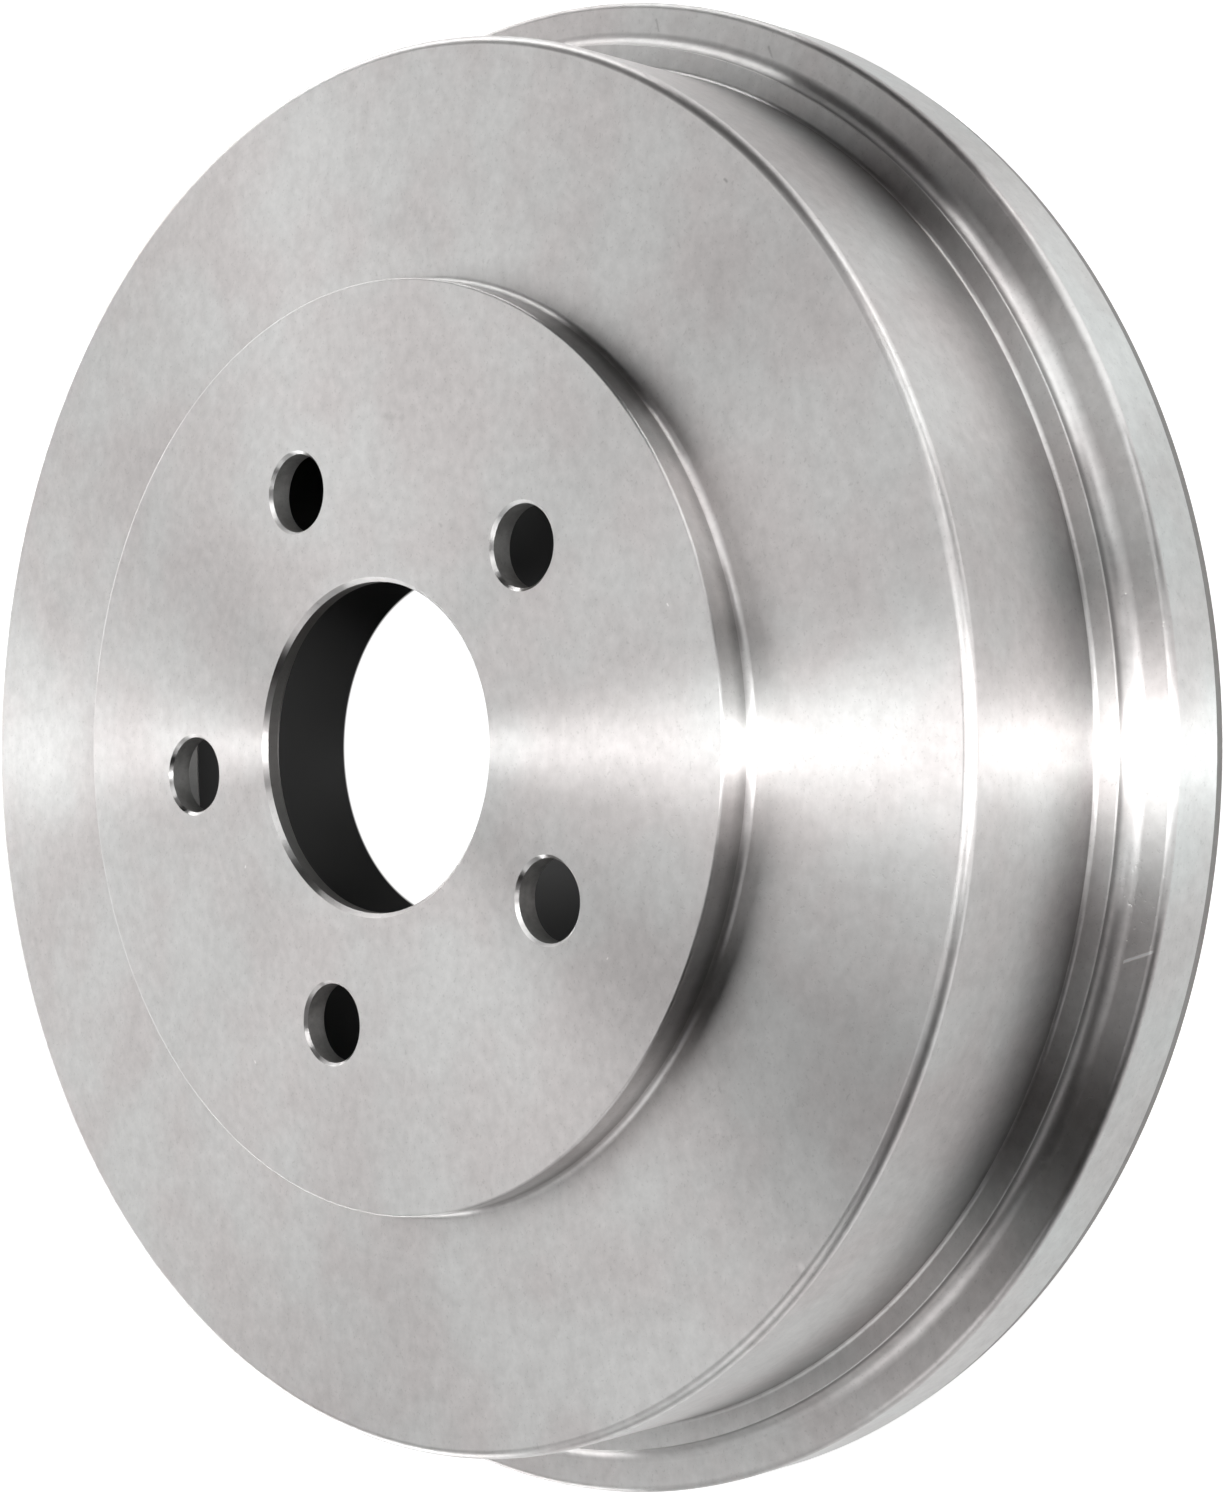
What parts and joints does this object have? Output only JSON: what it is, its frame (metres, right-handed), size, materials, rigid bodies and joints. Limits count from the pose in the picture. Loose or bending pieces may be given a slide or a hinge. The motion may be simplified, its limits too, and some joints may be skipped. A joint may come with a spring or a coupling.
{
  "type": "brake drum",
  "caption": "Round cast-iron brake drum: a cup with a stepped hub pad, a center bore, stud holes, a smooth barrel and a collared rim.",
  "frame": {"origin": "center of the open edge, on the drum's axis, at the surface that the drum stands on", "axes": "+Z along the axis from the open edge to the hub face; +Y from the axis to the first stud hole; +X to the right of it"},
  "size_m": [0.294, 0.294, 0.0602],
  "materials": {
    "turned_cast_iron": "fine-turned bare metal"
  },
  "bodies": {
    "root": {"brake_drum": "turned_cast_iron"}
  },
  "joints": []
}
